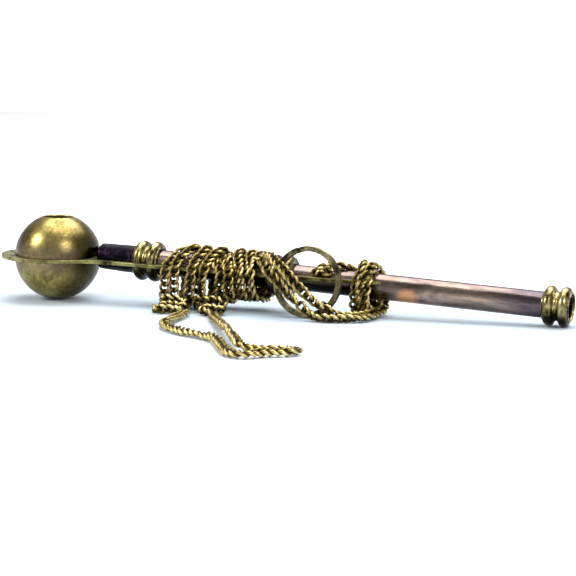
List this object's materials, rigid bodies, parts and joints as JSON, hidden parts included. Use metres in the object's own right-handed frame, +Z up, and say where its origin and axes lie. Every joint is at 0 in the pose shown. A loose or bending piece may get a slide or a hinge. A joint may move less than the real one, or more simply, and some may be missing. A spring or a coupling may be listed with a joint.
{
  "type": "boatswain's pipe",
  "caption": "Boatswain's pipe: hollow ball on a flat keel, straight tube with beaded collars, split ring and a long neck chain wound round it.",
  "frame": {"origin": "on the table, under the middle of the box round the pipe and its ring, chain left out", "axes": "+X along the gun from the buoy to the mouth end, +Z up off the table, -Y on the side of the keel's ring"},
  "size_m": [0.1354, 0.0743, 0.0195],
  "materials": {
    "buoy": "antiqued, brushed through to bright brass on the high spots",
    "keel": "antiqued sheet brass with a worn edge",
    "collars": "turned, antiqued, beads rubbed bright",
    "nozzle": "copper chemically darkened to purple-black",
    "gun": "drawn copper, heat-toned from purple-brown to orange",
    "ring": "antiqued spring-temper brass, satin",
    "chain": "antiqued curb chain, dark between the links"
  },
  "bodies": {
    "whistle": {"buoy_upper_bowl": "buoy", "buoy_lower_bowl": "buoy", "keel": "keel", "gun_nozzle": "nozzle", "gun_tube": "gun", "front_collar": "collars", "middle_collar": "collars", "mouth_collar": "collars", "chain_winding_buoy_side": "chain", "chain_winding_mouth_side": "chain", "chain_tail": "chain", "chain_run_outer": "chain", "chain_run_inner": "chain"},
    "ring": {"split_ring": "ring", "jump_link": "chain"}
  },
  "joints": [
    {"name": "ring_swing", "type": "hinge", "parent": "whistle", "child": "ring", "pos_m": [0.00311, -0.007, 0.00837], "axis": [0, -0.1392, -0.9903], "range_deg": [-3, 30], "deforming": ["chain_run_outer", "chain_run_inner"]}
  ]
}
